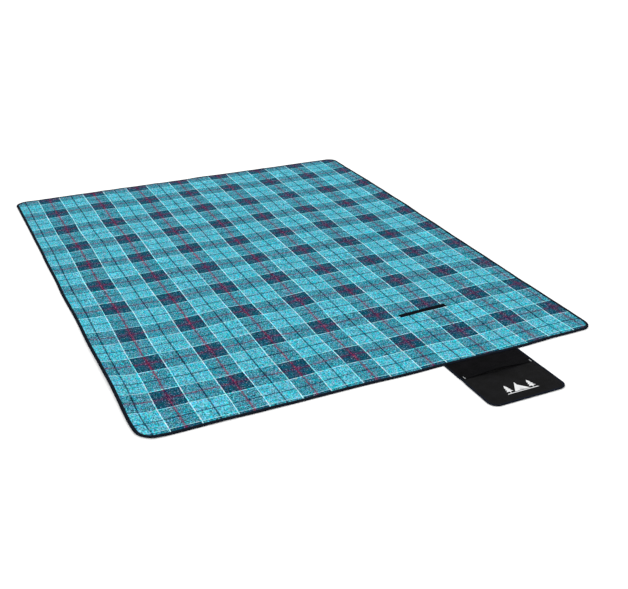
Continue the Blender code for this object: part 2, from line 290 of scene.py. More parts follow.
        # the nap lies in tufts, each a little paler or darker, redder or greener than the next, with painted
        # light on the high tufts and painted shade on the low ones; a thick yarn stands proud of them, so it
        # swings less
        nap = add_node(tree, "TexNoise", {"Vector": combed, "Scale": 1 / self.tuft, "Detail": 2.0,
                                          "Roughness": 0.6})
        proud = add_node(tree, "Math", {0: shows[0], 1: shows[1]}, operation="MAXIMUM")
        tone_and_shade_swing = add_node(tree, "MapRange", {
            "Value": proud.outputs[0], "From Min": self.warp.plain, "From Max": self.warp.thick,
            "To Min": self.tone_and_shade_swing, "To Max": 0.25 * self.tone_and_shade_swing})
        deep = add_node(tree, "Math", {0: nap.outputs[0], 1: 0.5}, operation="SUBTRACT")
        tuft = add_node(tree, "Math", {0: deep.outputs[0], 1: tone_and_shade_swing.outputs[0], 2: 1.0},
                        operation="MULTIPLY_ADD")
        tint = add_node(tree, "TexNoise", {"Vector": combed, "Scale": 1 / self.cast_size, "Detail": 2.0,
                                           "Roughness": 0.6})
        unswung = tuple(1 - c / 2 for c in self.cast)
        cast = add_node(tree, "VectorMath", {0: tint.outputs["Color"], 1: self.cast, 2: unswung},
                        operation="MULTIPLY_ADD")
        laid = add_node(tree, "TexNoise", {"Vector": place, "Scale": 1 / self.brushed_size, "Detail": 2.0})
        brushed = add_node(tree, "MapRange", {"Value": laid.outputs[0], "From Min": 0.3, "From Max": 0.7,
                                              "To Min": 0.93, "To Max": 1.07})
        tuft_tone_and_shade = add_node(tree, "Math", {0: tuft.outputs[0], 1: brushed.outputs[0]}, operation="MULTIPLY")
        lit = add_node(tree, "VectorMath", {0: woven.outputs[2], "Scale": tuft_tone_and_shade.outputs[0]}, operation="SCALE")
        colour = add_node(tree, "VectorMath", {0: lit.outputs[0], 1: cast.outputs[0]}, operation="MULTIPLY")
        tree.links.new(colour.outputs[0], shader.inputs["Base Color"])
        relief = add_node(tree, "Math", {0: nap.outputs[0], 1: 1.5, 2: mixing.outputs[0]},
                          operation="MULTIPLY_ADD")
        bump = add_node(tree, "Bump", {"Strength": 0.45, "Distance": 1.6 * MM, "Height": relief.outputs[0]})
        tree.links.new(bump.outputs[0], shader.inputs["Normal"])
        return material


@dataclass(frozen=True)
class RibbedTape:
    """Polyester grosgrain binding, woven with ribs across it and sewn down along both edges."""

    colour: str = "0b0f16"
    worn: str = "121823"
    thread: str = "1a212c"
    rib: float = 2.6 * MM  # real ribs are about 1.1 mm and are drawn coarser, so that they show
    seam: float = 2.6 * MM  # from the tape's edge to its stitches
    seam_half: float = 0.6 * MM  # half the width of a stitch
    stitch: float = 6.0 * MM  # one stitch and the gap after it
    wear: float = 16.7 * MM  # the size of a worn patch

    def build(self) -> bpy.types.Material:
        """Builds the material.

        Returns:
            The material.
        """
        material, tree, shader = bare_material("polyester_grosgrain", Roughness=0.9, Specular_IOR_Level=0.03)
        flat = add_node(tree, "UVMap", uv_map=WEAVE_MAP).outputs["UV"]
        place = add_node(tree, "TexCoord").outputs["Object"]
        along = add_node(tree, "SeparateXYZ", {0: flat})
        ribs = add_node(tree, "Math", {0: along.outputs[0], 1: self.rib / 2}, operation="PINGPONG")
        rise = add_node(tree, "Math", {0: ribs.outputs[0], 1: 2 / self.rib}, operation="MULTIPLY")
        side = add_node(tree, "Math", {0: along.outputs[1], 1: TAPE_WIDTH / 2}, operation="PINGPONG")
        off = add_node(tree, "Math", {0: side.outputs[0], 1: self.seam, 2: self.seam_half},
                       operation="COMPARE")
        beat = add_node(tree, "Math", {0: along.outputs[0], 1: self.stitch / 2}, operation="PINGPONG")
        dash = add_node(tree, "Math", {0: beat.outputs[0], 1: 0.36 * self.stitch}, operation="LESS_THAN")
        sewn = add_node(tree, "Math", {0: off.outputs[0], 1: dash.outputs[0]}, operation="MULTIPLY")
        worn = add_node(tree, "TexNoise", {"Vector": place, "Scale": 1 / self.wear, "Detail": 3.0})
        shade = add_node(tree, "ValToRGB", {0: worn.outputs[0]})
        set_stops(shade, [(0.3, srgb(self.colour)), (0.75, srgb(self.worn))])
        dyed = add_node(tree, "Mix", {0: sewn.outputs[0], 6: shade.outputs[0], 7: srgb(self.thread)},
                        data_type="RGBA")
        tree.links.new(dyed.outputs[2], shader.inputs["Base Color"])
        high = add_node(tree, "Math", {0: sewn.outputs[0], 1: 1.2, 2: rise.outputs[0]},
                        operation="MULTIPLY_ADD")
        bump = add_node(tree, "Bump", {"Strength": 0.6, "Distance": 0.35 * MM, "Height": high.outputs[0]})
        tree.links.new(bump.outputs[0], shader.inputs["Normal"])
        return material


@dataclass(frozen=True)
class CoatedCloth:
    """Polyester pack cloth: a plain weave, nearly matt, with soft pale patches where it is creased."""

    name: str
    colour: str
    pale: str
    yarn: float = 2.2 * MM  # real yarns are about 0.5 mm and are drawn coarser, so that they show
    crease: float = 45.5 * MM  # the size of a creased patch
    roughness: float = 0.7

    def build(self) -> bpy.types.Material:
        """Builds the material.

        Returns:
            The material.
        """
        material, tree, shader = bare_material(self.name, Roughness=self.roughness, Specular_IOR_Level=0.04)
        flat = add_node(tree, "UVMap", uv_map=WEAVE_MAP).outputs["UV"]
        place = add_node(tree, "TexCoord").outputs["Object"]
        split = add_node(tree, "SeparateXYZ", {0: flat})
        waves = []
        for axis in (0, 1):
            turn = add_node(tree, "Math", {0: split.outputs[axis], 1: math.pi / self.yarn},
                            operation="MULTIPLY")
            waves.append(add_node(tree, "Math", {0: turn.outputs[0]}, operation="SINE").outputs[0])
        basket = add_node(tree, "Math", {0: waves[0], 1: waves[1]}, operation="MULTIPLY")
        worn = add_node(tree, "TexNoise", {"Vector": place, "Scale": 1 / self.crease, "Detail": 4.0,
                                           "Roughness": 0.6})
        mixed = add_node(tree, "Math", {0: basket.outputs[0], 1: 0.12, 2: worn.outputs[0]},
                         operation="MULTIPLY_ADD")
        shade = add_node(tree, "ValToRGB", {0: mixed.outputs[0]})
        set_stops(shade, [(0.32, srgb(self.colour)), (0.72, srgb(self.pale))])
        tree.links.new(shade.outputs[0], shader.inputs["Base Color"])
        crumple = add_node(tree, "Math", {0: worn.outputs[0], 1: 5.0, 2: basket.outputs[0]},
                           operation="MULTIPLY_ADD")
        bump = add_node(tree, "Bump", {"Strength": 0.5, "Distance": 0.4 * MM, "Height": crumple.outputs[0]})
        tree.links.new(bump.outputs[0], shader.inputs["Normal"])
        return material


@dataclass(frozen=True)
class AluminisedFilm:
    """Aluminised polyethylene film, embossed with small diamonds and crinkled: a soft metal mirror."""

    diamond: float = 11.0 * MM  # real diamonds are about 4 mm and are drawn coarser, so that they show
    groove: float = 2.2 * MM
    crinkle: float = 38.5 * MM

    def build(self) -> bpy.types.Material:
        """Builds the material.

        Returns:
            The material.
        """
        material, tree, shader = bare_material("aluminised_polyethylene_film", Metallic=1.0, Roughness=0.3)
        flat = add_node(tree, "UVMap", uv_map=WEAVE_MAP).outputs["UV"]
        place = add_node(tree, "TexCoord").outputs["Object"]
        turned = add_node(tree, "Mapping", {"Vector": flat, "Rotation": (0, 0, math.radians(45))})
        split = add_node(tree, "SeparateXYZ", {0: turned.outputs[0]})
        ridges = [add_node(tree, "Math", {0: split.outputs[a], 1: self.diamond / 2}, operation="PINGPONG")
                  for a in (0, 1)]
        low = add_node(tree, "Math", {0: ridges[0].outputs[0], 1: ridges[1].outputs[0]},
                       operation="MINIMUM")
        press = add_node(tree, "MapRange", {"Value": low.outputs[0], "From Max": self.groove})
        crinkle = add_node(tree, "TexNoise", {"Vector": place, "Scale": 1 / self.crinkle, "Detail": 5.0,
                                              "Distortion": 0.8})
        tarnish = add_node(tree, "ValToRGB", {0: crinkle.outputs[0]})
        set_stops(tarnish, [(0.3, srgb("a9adb3")), (0.7, srgb("cfd2d6"))])
        tree.links.new(tarnish.outputs[0], shader.inputs["Base Color"])
        high = add_node(tree, "Math", {0: crinkle.outputs[0], 1: 4.0, 2: press.outputs[0]},
                        operation="MULTIPLY_ADD")
        bump = add_node(tree, "Bump", {"Strength": 0.6, "Distance": 0.9 * MM, "Height": high.outputs[0]})
        tree.links.new(bump.outputs[0], shader.inputs["Normal"])
        return material


@dataclass(frozen=True)
class FoamCore:
    """Closed-cell polyethylene foam, extruded in sheet: chalky white with fine open skin cells."""

    cell: float = 3.0 * MM  # real cells are about 1 mm and are drawn coarser, so that they show

    def build(self) -> bpy.types.Material:
        """Builds the material.

        Returns:
            The material.
        """
        material, tree, shader = bare_material("polyethylene_foam", Roughness=0.8)
        place = add_node(tree, "TexCoord").outputs["Object"]
        cells = add_node(tree, "TexVoronoi", {"Vector": place, "Scale": 1 / self.cell})
        shade = add_node(tree, "ValToRGB", {0: cells.outputs["Distance"]})
        set_stops(shade, [(0.0, srgb("cfd0cc")), (0.7, srgb("f0f0ec"))])
        tree.links.new(shade.outputs[0], shader.inputs["Base Color"])
        bump = add_node(tree, "Bump", {"Strength": 0.5, "Distance": 0.5 * MM,
                                       "Height": cells.outputs["Distance"]})
        tree.links.new(bump.outputs[0], shader.inputs["Normal"])
        return material


@dataclass(frozen=True)
class PileTape:
    """Nylon hook-and-loop tape: a dense pile of loops, or stiff hooks in rows, on a woven ground."""

    name: str
    colour: str
    pale: str
    pile: float = 2.0 * MM  # loops and hooks are about 0.5 mm and are drawn coarser, so that they show
    clump: float = 5.56 * MM  # the size of a flattened clump

    def build(self) -> bpy.types.Material:
        """Builds the material.

        Returns:
            The material.
        """
        material, tree, shader = bare_material(self.name, Roughness=0.95, Specular_IOR_Level=0.02)
        place = add_node(tree, "TexCoord").outputs["Object"]
        loops = add_node(tree, "TexVoronoi", {"Vector": place, "Scale": 1 / self.pile})
        clump = add_node(tree, "TexNoise", {"Vector": place, "Scale": 1 / self.clump, "Detail": 2.0})
        mixed = add_node(tree, "Math", {0: loops.outputs["Distance"], 1: clump.outputs[0]},
                         operation="MULTIPLY")
        shade = add_node(tree, "ValToRGB", {0: mixed.outputs[0]})
        set_stops(shade, [(0.05, srgb(self.colour)), (0.55, srgb(self.pale))])
        tree.links.new(shade.outputs[0], shader.inputs["Base Color"])
        bump = add_node(tree, "Bump", {"Strength": 0.8, "Distance": 0.8 * MM, "Height": mixed.outputs[0]})
        tree.links.new(bump.outputs[0], shader.inputs["Normal"])
        return material


@dataclass(frozen=True)
class Webbing:
    """Woven polypropylene webbing: rows of coarse yarn that slant one way and then the other, nearly matt."""

    row: float = 3.0 * MM  # real rows are about 1.8 mm and are drawn coarser, so that they show
    herringbone: float = 7.5 * MM  # the width of a stretch that slants one way

    def build(self) -> bpy.types.Material:
        """Builds the material.

        Returns:
            The material.
        """
        material, tree, shader = bare_material("polypropylene_webbing", Roughness=0.85,
                                               Specular_IOR_Level=0.02)
        flat = add_node(tree, "UVMap", uv_map=WEAVE_MAP).outputs["UV"]
        split = add_node(tree, "SeparateXYZ", {0: flat})
        zig = add_node(tree, "Math", {0: split.outputs[1], 1: self.herringbone}, operation="PINGPONG")
        slant = add_node(tree, "Math", {0: split.outputs[0], 1: zig.outputs[0]}, operation="ADD")
        rows = add_node(tree, "Math", {0: slant.outputs[0], 1: self.row / 2}, operation="PINGPONG")
        share = add_node(tree, "Math", {0: rows.outputs[0], 1: 2 / self.row}, operation="MULTIPLY")
        shade = add_node(tree, "ValToRGB", {0: share.outputs[0]})
        set_stops(shade, [(0.0, srgb("030304")), (0.8, srgb("0c0c0e"))])
        tree.links.new(shade.outputs[0], shader.inputs["Base Color"])
        bump = add_node(tree, "Bump", {"Strength": 0.8, "Distance": 0.6 * MM, "Height": share.outputs[0]})
        tree.links.new(bump.outputs[0], shader.inputs["Normal"])
        return material


@dataclass(frozen=True)
class SewnThread:
    """Spun polyester sewing thread, satin-stitched: fine parallel strands with a soft gloss."""

    colour: str = "b9bcbd"
    strand: float = 1.2 * MM  # real strands are about 0.4 mm and are drawn coarser, so that they show

    def build(self) -> bpy.types.Material:
        """Builds the material.

        Returns:
            The material.
        """
        material, tree, shader = bare_material("polyester_thread", Roughness=0.6)
        place = add_node(tree, "TexCoord").outputs["Object"]
        split = add_node(tree, "SeparateXYZ", {0: place})
        strands = add_node(tree, "Math", {0: split.outputs[1], 1: self.strand / 2}, operation="PINGPONG")
        share = add_node(tree, "Math", {0: strands.outputs[0], 1: 2 / self.strand}, operation="MULTIPLY")
        shade = add_node(tree, "ValToRGB", {0: share.outputs[0]})
        set_stops(shade, [(0.0, srgb("77797b")), (0.7, srgb(self.colour))])
        tree.links.new(shade.outputs[0], shader.inputs["Base Color"])
        bump = add_node(tree, "Bump", {"Strength": 0.7, "Distance": 0.3 * MM, "Height": share.outputs[0]})
        tree.links.new(bump.outputs[0], shader.inputs["Normal"])
        return material


@dataclass(frozen=True)
class ScreenInk:
    """Screen-printing ink on cloth: a thin matt white film that the weave shows through."""

    yarn: float = 2.2 * MM  # as coarse as the flap cloth's own yarns are drawn

    def build(self) -> bpy.types.Material:
        """Builds the material.

        Returns:
            The material.
        """
        material, tree, shader = bare_material("screen_printing_ink", Roughness=0.6)
        place = add_node(tree, "TexCoord").outputs["Object"]
        worn = add_node(tree, "TexNoise", {"Vector": place, "Scale": 1 / self.yarn, "Detail": 2.0})
        shade = add_node(tree, "ValToRGB", {0: worn.outputs[0]})
        set_stops(shade, [(0.3, srgb("b4b6b7")), (0.6, srgb("dcdddd"))])
        tree.links.new(shade.outputs[0], shader.inputs["Base Color"])
        bump = add_node(tree, "Bump", {"Strength": 0.3, "Distance": 0.2 * MM, "Height": worn.outputs[0]})
        tree.links.new(bump.outputs[0], shader.inputs["Normal"])
        return material


class Finish(Enum):
    """Every finish on the blanket, and the recipe for it."""

    PLAID = PlaidFleece()
    TAPE = RibbedTape()
    FLAP = CoatedCloth("coated_polyester_pack_cloth", "060606", "101012")
    # the flap's root is the same black pack cloth, painted darker: painted shade from the blanket's edge and
    # the handle over it
    ROOT = CoatedCloth("pack_cloth_in_painted_shade", "020203", "0a090c", roughness=0.9)
    LINING = CoatedCloth("polyester_lining", "0c0d10", "15171b")
    FILM = AluminisedFilm()
    FOAM = FoamCore()
    LOOPS = PileTape("nylon_loop_pile", "030407", "11141c")
    HOOKS = PileTape("nylon_hook_tape", "060708", "16181c", pile=2.6 * MM)
    WEBBING = Webbing()
    BARTACK = SewnThread()
    INK = ScreenInk()

    def material(self) -> bpy.types.Material:
        """The finish's material, made the first time it is asked for."""
        if self not in _made:
            _made[self] = self.value.build()
        return _made[self]


_made: dict[Finish, bpy.types.Material] = {}


# ---------------------------------------------------------------- mesh helpers


def spread(low: float, high: float, step: float,
           fine: Sequence[tuple[float, float, float]] = ()) -> list[float]:
    """Places for a grid's cross lines, closer together where the cloth bends more.

    Args:
        low: the first place.
        high: the last place.
        step: the widest spacing.
        fine: middle, half width and spacing of each closer stretch.

    Returns:
        The places, in order, from low to high.
    """
    marks = {low, high}
    for middle, half, _ in fine:
        marks |= {m for m in (middle - half, middle + half) if low < m < high}
    marks = sorted(marks)
    places = [low]
    for a, b in zip(marks, marks[1:]):
        gap = min([step] + [s for m, h, s in fine if abs((a + b) / 2 - m) < h])
        count = max(1, math.ceil((b - a) / gap - 1e-6))
        places += [a + (b - a) * i / count for i in range(1, count + 1)]
    return places


def lengths_along(points: Sequence[Sequence[float]]) -> list[float]:
    """Measures along a line of points.

    Args:
        points: the points, each with its two coordinates first.

    Returns:
        The length from the first point, for each of them.
    """
    lengths = [0.0]
    for a, b in zip(points, points[1:]):
        lengths.append(lengths[-1] + math.dist(a[:2], b[:2]))
    return lengths


def cloth_grid(us: Sequence[float], vs: Sequence[float],
               place: Callable[[int, int], Vector] | None = None) -> bmesh.types.BMesh:
    """A grid of cloth whose cross lines stand at the given places.

    Args:
        us: places along the grid's first side.
        vs: places along its second side.
        place: where a point lies, for the numbers of its two cross lines; flat if it isn't given.

    Returns:
        A bmesh with each point's own place in the flat cloth in the layer "cut".
    """
    bm = bmesh.new()
    cut = bm.verts.layers.float_vector.new("cut")
    bmesh.ops.create_grid(bm, x_segments=len(us) - 1, y_segments=len(vs) - 1, size=0.5)
    for v in bm.verts:
        i, j = round((v.co.x + 0.5) * (len(us) - 1)), round((v.co.y + 0.5) * (len(vs) - 1))
        v[cut] = Vector((us[i], vs[j], 0.0))
        v.co = place(i, j) if place else v[cut]
    return bm


def round_off(x: float, y: float, cx: float, cy: float, radius: float) -> tuple[float, float]:
    """Moves a point of a square corner so that the corner comes out round.

    Args:
        x: the point's place across.
        y: its place along.
        cx: the place across of the rounded corner's centre.
        cy: the place along of that centre.
        radius: the rounded corner's radius.

    Returns:
        The point's new place.
    """
    a, b = abs(x - cx) / radius, abs(y - cy) / radius
    if a < 1e-9 or b < 1e-9:
        return x, y
    reach = radius * max(a, b)
    turn = math.pi / 4 * (b / a if a >= b else 2 - a / b)
    return (cx + math.copysign(reach * math.cos(turn), x - cx),
            cy + math.copysign(reach * math.sin(turn), y - cy))


def lay_out(bm: bmesh.types.BMesh, place: Callable[[Vector], Vector], thickness: float) -> None:
    """Moves a flat grid to where its cloth lies, and gives it thickness downwards.

    Args:
        bm: the flat grid.
        place: gives the upper face's point for a point of the flat grid.
        thickness: the cloth's thickness.
    """
    for v in bm.verts:
        v.co = place(v.co)
    bm.normal_update()
    bmesh.ops.recalc_face_normals(bm, faces=bm.faces)
    if sum(f.normal.z * f.calc_area() for f in bm.faces) < 0:
        bmesh.ops.reverse_faces(bm, faces=bm.faces)
    bmesh.ops.solidify(bm, geom=bm.faces[:], thickness=thickness)
    bmesh.ops.recalc_face_normals(bm, faces=bm.faces)


def thicken_tape(bm: bmesh.types.BMesh, middle: Callable[[Vector], float], thickness: float) -> None:
    """Turns a folded tape's outside outwards, and gives the tape its thickness inwards.

    Args:
        bm: the folded tape's outside.
        middle: the height halfway between the tape's upper and lower run, at a point.
        thickness: the tape's thickness.
    """
    bmesh.ops.recalc_face_normals(bm, faces=bm.faces)
    bm.normal_update()
    outward = 0.0
    for face in bm.faces:
        centre = face.calc_center_median()
        outward += face.normal.z if centre.z > middle(centre) else -face.normal.z
    if outward < 0:
        bmesh.ops.reverse_faces(bm, faces=bm.faces)
    bmesh.ops.solidify(bm, geom=bm.faces[:], thickness=thickness)
    bmesh.ops.recalc_face_normals(bm, faces=bm.faces)


def to_object(bm: bmesh.types.BMesh, name: str, finish: Finish,
              weave: Callable[[Vector], tuple[float, float]] | None = None,
              sharp: float = 40.0) -> bpy.types.Object:
    """Makes a bmesh an object, with its finish and its weave map.

    Args:
        bm: the mesh, which is freed.
        name: the piece's name.
        finish: its finish.
        weave: the place in the weave for a point's place in the cloth; the same place if it isn't given.
        sharp: edges that turn more than this many degrees are shaded sharp.

    Returns:
        The object, at the origin.
    """
    cut = bm.verts.layers.float_vector.get("cut")
    if cut is not None:
        uv = bm.loops.layers.uv.new(WEAVE_MAP)
        for face in bm.faces:
            for loop in face.loops:
                flat = loop.vert[cut]
                loop[uv].uv = weave(flat) if weave else (flat.x, flat.y)
    mesh = bpy.data.meshes.new(name)
    bm.to_mesh(mesh)
    bm.free()
    mesh.shade_smooth()
    mesh.set_sharp_from_angle(angle=math.radians(sharp))
    mesh.materials.append(finish.material())
    obj = bpy.data.objects.new(name, mesh)
    bpy.context.scene.collection.objects.link(obj)
    LOG.info("%s: %d faces, %s", name, len(mesh.polygons), finish.name.lower())
    return obj


def smoothstep(t: float) -> float:
    """Goes smoothly from 0 to 1 as t does."""
    t = min(1.0, max(0.0, t))
    return t * t * (3 - 2 * t)


# ---------------------------------------------------------------- how the blanket lies


@dataclass(frozen=True)
class Swell:
    """One long soft ridge in the cloth."""

    height: float
    x: float
    y: float
    half_length: float
    half_width: float
    heading: float  # degrees from the length of the blanket, towards the right

    def at(self, x: float, y: float) -> float:
        """Works out the ridge's height at a point.

        Args:
            x: the point's place across the flat blanket.
            y: its place along it.

        Returns:
            The height in metres.
        """
        c, s = math.cos(math.radians(self.heading)), math.sin(math.radians(self.heading))
        along, across = (y - self.y) * c + (x - self.x) * s, (x - self.x) * c - (y - self.y) * s
        return self.height * math.exp(-(along / self.half_length) ** 2 - (across / self.half_width) ** 2)


@dataclass(frozen=True)
class Lie:
    """How the open blanket lies: low swells left by its folds, and edges that wander a little."""

    left: float
    right: float
    near: float
    far: float
    flap_left: float
    flap_right: float
    corner: float = 60 * MM
    swells: tuple[Swell, ...] = (
        Swell(7.5 * MM, -1.02, -0.55, 0.36, 0.085, 0),
        Swell(5.0 * MM, -0.80, 0.45, 0.50, 0.075, 8),
        Swell(5.5 * MM, -0.40, -0.15, 0.45, 0.080, -9),
        Swell(4.0 * MM, -0.05, 0.85, 0.40, 0.090, 12),
        Swell(5.0 * MM, 0.02, -0.35, 0.42, 0.070, -6),
        Swell(5.5 * MM, 0.42, 0.55, 0.50, 0.085, 5),
        Swell(4.0 * MM, 0.80, -0.35, 0.38, 0.080, -12),
        Swell(8.0 * MM, 1.03, 0.75, 0.52, 0.090, 0),
        Swell(4.0 * MM, -0.62, 1.15, 0.22, 0.11, 50),
        Swell(3.5 * MM, 0.66, 1.20, 0.20, 0.10, -35),
        Swell(3.0 * MM, -0.55, -0.90, 0.22, 0.10, 60),
    )

    def height(self, x: float, y: float) -> float:
        """Works out how far the underside is off the ground.

        Args:
            x: a point's place across the flat blanket.
            y: its place along it.

        Returns:
            The height in metres, which is never below 0.
        """
        roll = 2.2 * MM * noise.noise(Vector((x / 0.21, y / 0.30, 3.7)))
        roll += 0.7 * MM * noise.noise(Vector((x / 0.085, y / 0.12, 8.1)))
        # the sewn edge is puckered along its run
        aside, beyond = min(x - self.left, self.right - x), min(y - self.near, self.far - y)
        edge = min(aside, beyond)
        run = y if aside < beyond else x
        pucker = noise.noise(Vector((run / 0.045, 0.5, 1.9)))
        pucker += 0.6 * noise.noise(Vector((run / 0.11, 4.5, 1.9)))
        roll += 1.3 * MM * pucker * math.exp(-max(edge, 0.0) / 0.035)
        raw = roll + sum(s.at(x, y) for s in self.swells)
        # the cloth touches the ground with a soft turn, and lies flat where the flap is sewn in
        raw = 0.5 * (raw + math.sqrt(raw * raw + (0.7 * MM) ** 2))
        from_flap = max(self.flap_left - x, x - self.flap_right, 0.0)
        return raw * smoothstep(math.hypot(from_flap, y - self.near) / 0.16)

    def drift(self, x: float, y: float) -> tuple[float, float]:
        """Works out how far a point of the cloth lies from its place in a perfect rectangle.

        Args:
            x: the point's place across the flat blanket.
            y: its place along it.

        Returns:
            The distances across and along.
        """
        # the right edge is drawn in, least at its middle, and both this edge and the left one wander
        across = 5 * MM * math.sin(math.pi * (y - self.near) / (self.far - self.near)) ** 2
        across += 3 * MM * noise.noise(Vector((0.0, y / 0.16, 2.3)))
        dx = (across - 8 * MM) * math.exp(-(self.right - x) / 0.25)
        dx += 6 * MM * noise.noise(Vector((1.0, y / 0.27, 5.3))) * math.exp(-(x - self.left) / 0.25)
        # the near edge wanders, but not where the flap holds it, and bows outwards at the flap's right side
        calm = smoothstep(max(self.flap_left - x, x - self.flap_right, 0.0) / 0.12)
        wave = 7 * MM * noise.noise(Vector((x / 0.30, 0.4, 7.7)))
        wave += 2 * MM * noise.noise(Vector((x / 0.11, 1.4, 7.7)))
        dy = wave * math.exp(-(y - self.near) / 0.25) * calm
        dy -= 8 * MM * math.exp(-((x - self.flap_right) / 0.28) ** 2 - (y - self.near) / 0.25)
        # the far edge is drawn in and wanders, and the near left corner is pulled in both ways
        back = 6 * MM * noise.noise(Vector((x / 0.33, 2.4, 9.7))) - 14 * MM
        dy += back * math.exp(-(self.far - y) / 0.25)
        slack = 8 * MM * math.exp(-((x - self.left) ** 2 + (y - self.near) ** 2) / 0.07 ** 2)
        return dx + slack, dy + slack

    def place(self, x: float, y: float, level: float) -> Vector:
        """Works out where a point of the blanket lies.

        Args:
            x: its place across the flat blanket.
            y: its place along it.
            level: its height over the underside.

        Returns:
            The point.
        """
        dx, dy = self.drift(x, y)
        return Vector((x + dx, y + dy, self.height(x, y) + level))

    def weave(self, flat: Vector) -> tuple[float, float]:
        """Works out the place in the plaid of a point of the flat cloth.

        The weft was beaten up unevenly, and the sewn edges pull it, so its stripes aren't quite straight.

        Args:
            flat: the point.

        Returns:
            Its distances in the weave from the left and near edges.
        """
        u, v = flat.x - self.left, flat.y - self.near
        bow = 14 * MM * math.sin(2 * math.pi * (v - 0.32) / 2.2)
        pull = 34 * MM * math.exp(-u / 0.075) * smoothstep(v / 0.25) * smoothstep((2.0 - v) / 1.0)
        rise = 30 * MM * math.exp(-(2.0 - u) / 0.09) * smoothstep((v - 0.5) / 1.6)
        ripple = 9 * MM * noise.noise(Vector((u / 0.26, v / 0.30, 11.0)))
        slip = 6 * MM * noise.noise(Vector((u / 0.30, v / 0.26, 17.0)))
        hem = 20 * MM * math.exp(-v / 0.055) - 34 * MM * smoothstep((v - 2.24) / 0.22)
        return u + slip, v - bow - pull - rise + ripple - hem

    def rounded(self, x: float, y: float, inset: float) -> tuple[float, float]:
        """Moves a point of a square-cornered layer so that the layer's corners come out round.

        Args:
            x: its place across the layer.
            y: its place along it.
            inset: how far the layer's edge is inside the blanket's.

        Returns:
            The point's new place.
        """
        cx = min(max(x, self.left + self.corner), self.right - self.corner)
        cy = min(max(y, self.near + self.corner), self.far - self.corner)
        return round_off(x, y, cx, cy, self.corner - inset)


@dataclass(frozen=True)
class Panel:
    """A quarter of the blanket's layers, from one fifth's middle to another's, with one fold in it."""

    name: str
    x0: float
    x1: float
    fold: float  # where the fold line is, across the blanket
    bodies: tuple[str, str]
    fifths: tuple[int, ...]  # the fifths whose CAD nodes the panel stands for

    def bend(self, obj: bpy.types.Object) -> None:
        """Bakes a piece's place into its mesh; the piece doesn't bend at the panel's fold."""
        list(self.bodies)
        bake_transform(obj)


# ---------------------------------------------------------------- the blanket's layers


@dataclass
class Layers:
    """The blanket's three layers: plaid fleece over foam over foil film.

    A level is the height of a layer's upper face over the blanket's underside, and an inset is how far its
    outer edge is inside the blanket's.
    """

    lie: Lie
    panels: Sequence[Panel]
    top_inset: float = 1.6 * MM
    top_level: float = 4.9 * MM
    top_edge_level: float = 4.3 * MM  # the tape holds the fleece down at the edge
    top_thickness: float = 1.4 * MM
    top_step: float = 11 * MM  # the widest spacing of the fleece's mesh
    core_step: float = 20 * MM
    foam_level: float = 3.3 * MM
    foam_thickness: float = 2.3 * MM
    film_inset: float = 9.0 * MM
    film_level: float = 0.98 * MM
    film_thickness: float = 0.2 * MM

    def sheet_of(self, panel: Panel, inset: float, level: Callable[[float, float], float],
                 thickness: float, step: float) -> bmesh.types.BMesh:
        """Makes one layer in one panel.

        Args:
            panel: the panel.
            inset: how far the layer's outer edge is inside the blanket's.
            level: the upper face's height over the blanket's underside, at a point.
            thickness: the layer's thickness.
            step: the widest spacing of the mesh.

        Returns:
            The layer as a closed mesh.
        """
        lie = self.lie
        x0, x1 = max(panel.x0, lie.left + inset), min(panel.x1, lie.right - inset)
        corners = [[(end, lie.corner, step / 2) for end in ends]
                   for ends in ((lie.left, lie.right), (lie.near, lie.far))]
        xs = spread(x0, x1, step, [(panel.fold, 2 * BEND_HALF, BEND_STEP), *corners[0]])
        ys = spread(lie.near + inset, lie.far - inset, step, corners[1])
        bm = cloth_grid(xs, ys)
        cut = bm.verts.layers.float_vector["cut"]
        for v in bm.verts:
            x, y = lie.rounded(v.co.x, v.co.y, inset)
            v[cut] = v.co = Vector((x, y, 0.0))
        lay_out(bm, lambda p: lie.place(p.x, p.y, level(p.x, p.y)), thickness)
        return bm

    def padded_level(self, x: float, y: float) -> float:
        """Works out the fleece's level: full in the middle, and held down by the tape at the edge.

        Args:
            x: a point's place across the flat blanket.
            y: its place along it.

        Returns:
            The level.
        """
        lie = self.lie
        edge = min(x - lie.left, lie.right - x, y - lie.near, lie.far - y)
        rise = smoothstep((edge - 10 * MM) / (30 * MM))
        return self.top_edge_level + (self.top_level - self.top_edge_level) * rise

    def build(self) -> None:
        """Builds every layer in every panel."""
        for panel in self.panels:
            layers = (
                ("backing", Finish.FILM, "aluminised_film", self.film_inset, lambda x, y: self.film_level,
                 self.film_thickness, self.core_step, []),
                ("foam", Finish.FOAM, "polyethylene_foam", self.top_inset, lambda x, y: self.foam_level,
                 self.foam_thickness, self.core_step, ["backing"]),
                ("top_fabric", Finish.PLAID, "plaid_fleece", self.top_inset, self.padded_level,
                 self.top_thickness, self.top_step, ["foam"]),
            )
            for layer, finish, slot, inset, level, thickness, step, below in layers:
                bm = self.sheet_of(panel, inset, level, thickness, step)
                obj = to_object(bm, f"{layer}_{panel.name}", finish, self.lie.weave)
                panel.bend(obj)
                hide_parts(*[f"{layer}_{n}" for n in panel.fifths])
                [f"{b}_{panel.name}" for b in below]


